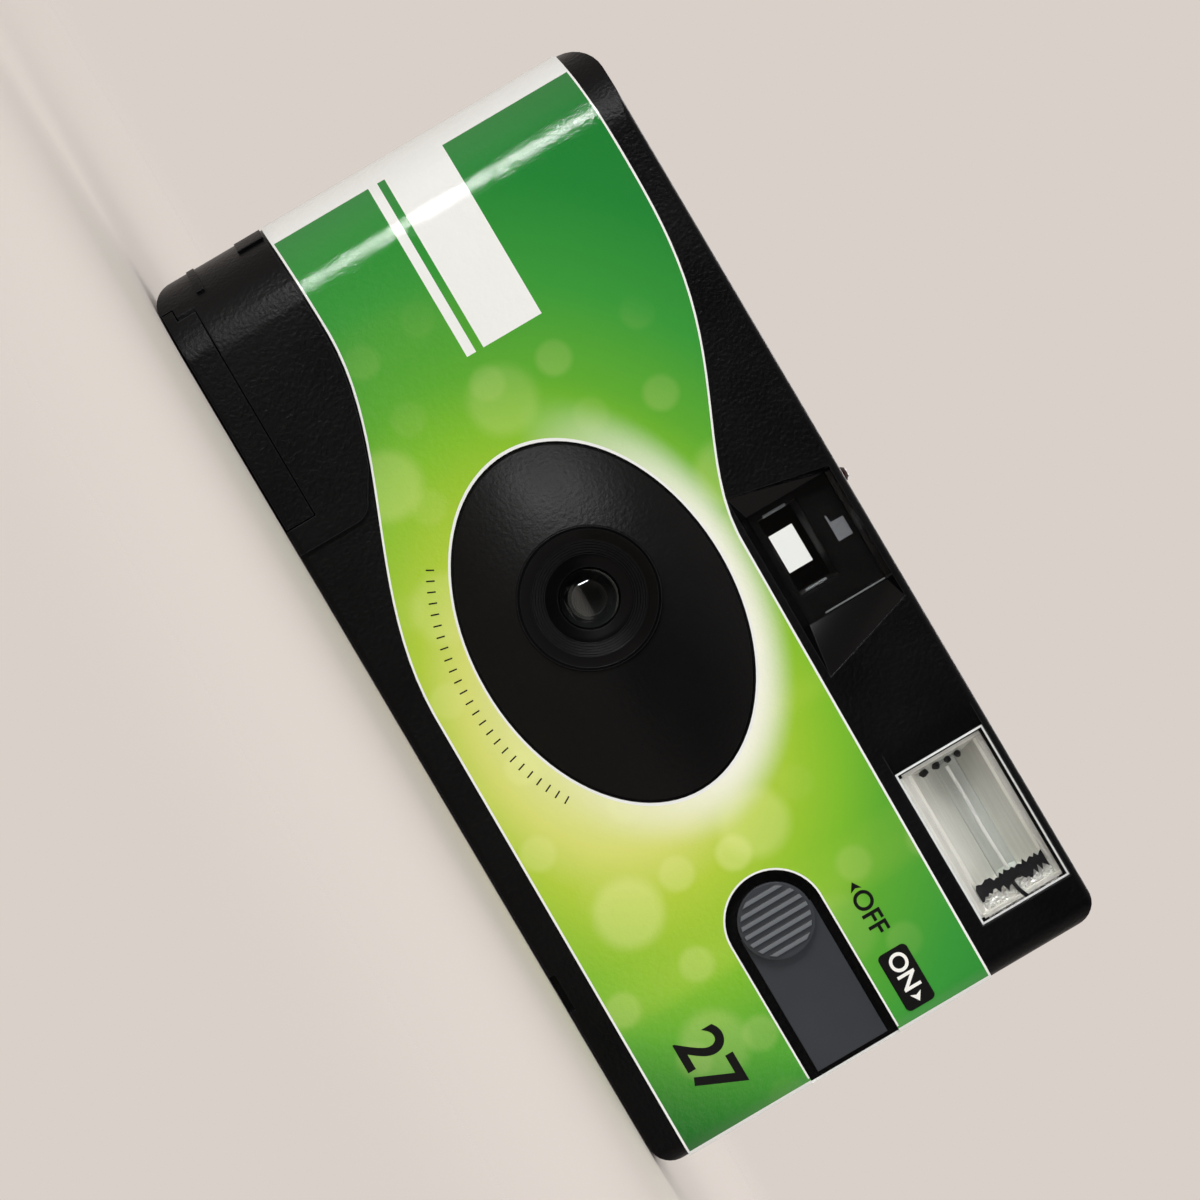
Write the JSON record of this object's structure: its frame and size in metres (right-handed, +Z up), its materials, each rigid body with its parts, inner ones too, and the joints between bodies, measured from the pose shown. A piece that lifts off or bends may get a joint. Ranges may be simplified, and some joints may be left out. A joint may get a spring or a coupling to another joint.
{
  "type": "disposable film camera",
  "caption": "Single-use 35 mm film camera with a black plastic body, wrap-round printed label, elliptical lens shroud, finder, flash with slide switch, film wheel and film door.",
  "frame": {"origin": "middle of the bounding box at the base, on the surface that the camera stands on", "axes": "+X to the right of someone facing the lens, +Y to the back, +Z up"},
  "size_m": [0.108, 0.034, 0.054],
  "materials": {
    "black_shell": "fine matt texture",
    "black_inside": "matt",
    "dark_grey": "satin",
    "pale_plastic": "satin",
    "clear_plastic": "polished",
    "orange_plastic": "clear",
    "bright_metal": "polished",
    "lamp_glass": "polished",
    "spring_steel": "plain",
    "contact_brass": "plain",
    "board": "plain",
    "can_sleeve": "sleeve",
    "film": "film base",
    "label_print": "coated print"
  },
  "bodies": {
    "camera": {"front_cover": "black_shell", "rear_cover": "black_shell", "lens_shroud": "black_shell", "lens_ring": "black_shell", "main_frame": "black_inside", "light_tunnel": "black_inside", "aperture_plate": "black_inside", "taking_lens": "clear_plastic", "finder_window": "clear_plastic", "finder_lens": "clear_plastic", "eyepiece": "clear_plastic", "flash_window": "clear_plastic", "counter_window": "clear_plastic", "lamp_pipe": "orange_plastic", "flash_reflector": "bright_metal", "flash_tube": "lamp_glass", "neon_lamp": "lamp_glass", "lever_spring": "spring_steel", "button_spring": "spring_steel", "battery_spring": "spring_steel", "battery_plate": "spring_steel", "film_cassette": "spring_steel", "sync_contact": "contact_brass", "switch_contact": "contact_brass", "circuit_board": "board", "flash_transformer": "board", "flash_capacitor": "can_sleeve", "battery": "can_sleeve", "film_strip": "film", "front_label": "label_print", "back_label": "label_print"},
    "button": {"shutter_button": "black_inside"},
    "rocker": {"release_rocker": "pale_plastic"},
    "lever": {"drive_lever": "contact_brass"},
    "blade": {"shutter_blade": "black_inside"},
    "wheel": {"film_wheel": "black_inside", "cassette_spool": "black_inside"},
    "pawl": {"wheel_pawl": "pale_plastic"},
    "sprocket": {"sprocket": "pale_plastic"},
    "counter": {"counter_disc": "pale_plastic"},
    "supply": {"supply_spool": "black_inside", "film_roll": "film"},
    "switch": {"flash_switch": "dark_grey"},
    "door": {"film_door": "black_shell"}
  },
  "joints": [
    {"name": "button_press", "type": "slide", "parent": "camera", "child": "button", "axis": [0, 0, -1], "range_m": [0, 0.0015], "stiffness_N_per_m": 800, "springref_m": -0.0008, "deforming": ["button_spring"]},
    {"name": "rocker_tilt", "type": "hinge", "parent": "camera", "child": "rocker", "pos_m": [-0.0175, -0.0069, 0.038], "axis": [0, -1, 0], "range_deg": [0, 16]},
    {"name": "lever_kick", "type": "hinge", "parent": "camera", "child": "lever", "pos_m": [-0.0134, -0.01015, 0.0379], "axis": [0, -1, 0], "range_deg": [0, 30], "stiffness_Nm_per_rad": 0.002, "springref_deg": -17.19},
    {"name": "blade_open", "type": "hinge", "parent": "camera", "child": "blade", "pos_m": [-0.0095, -0.00825, 0.0295], "axis": [0, 1, 0], "range_deg": [0, 33]},
    {"name": "wheel_turn", "type": "hinge", "parent": "camera", "child": "wheel", "pos_m": [-0.03815, 0.00255, 0.048], "axis": [0, 0, 1], "continuous": true},
    {"name": "pawl_lift", "type": "hinge", "parent": "camera", "child": "pawl", "pos_m": [-0.02245, 0.01005, 0.0475], "axis": [0, 0, 1], "range_deg": [-4, 5], "stiffness_Nm_per_rad": 0.001},
    {"name": "sprocket_turn", "type": "hinge", "parent": "camera", "child": "sprocket", "pos_m": [-0.0172, 0.0057, 0.038], "axis": [0, 0, 1], "continuous": true},
    {"name": "counter_turn", "type": "hinge", "parent": "camera", "child": "counter", "pos_m": [-0.0105, -0.0011, 0.0499], "axis": [0, 0, 1], "continuous": true},
    {"name": "supply_turn", "type": "hinge", "parent": "camera", "child": "supply", "pos_m": [0.0385, 0.0045, 0.024], "axis": [0, 0, 1], "continuous": true},
    {"name": "switch_slide", "type": "slide", "parent": "camera", "child": "switch", "axis": [1, 0, 0], "range_m": [0, 0.005]},
    {"name": "door_open", "type": "hinge", "parent": "camera", "child": "door", "pos_m": [-0.03745, 0.01175, 0.00075], "axis": [1, 0, 0], "range_deg": [0, 100]}
  ],
  "couplings": [
    {"joint": "rocker_tilt", "follows": "button_press", "rad_per_m": 181.8},
    {"joint": "blade_open", "follows": "lever_kick", "ratio": 1.1},
    {"joint": "sprocket_turn", "follows": "wheel_turn", "ratio": 1.5},
    {"joint": "counter_turn", "follows": "wheel_turn", "ratio": -0.041667},
    {"joint": "supply_turn", "follows": "wheel_turn", "ratio": 1.113}
  ]
}
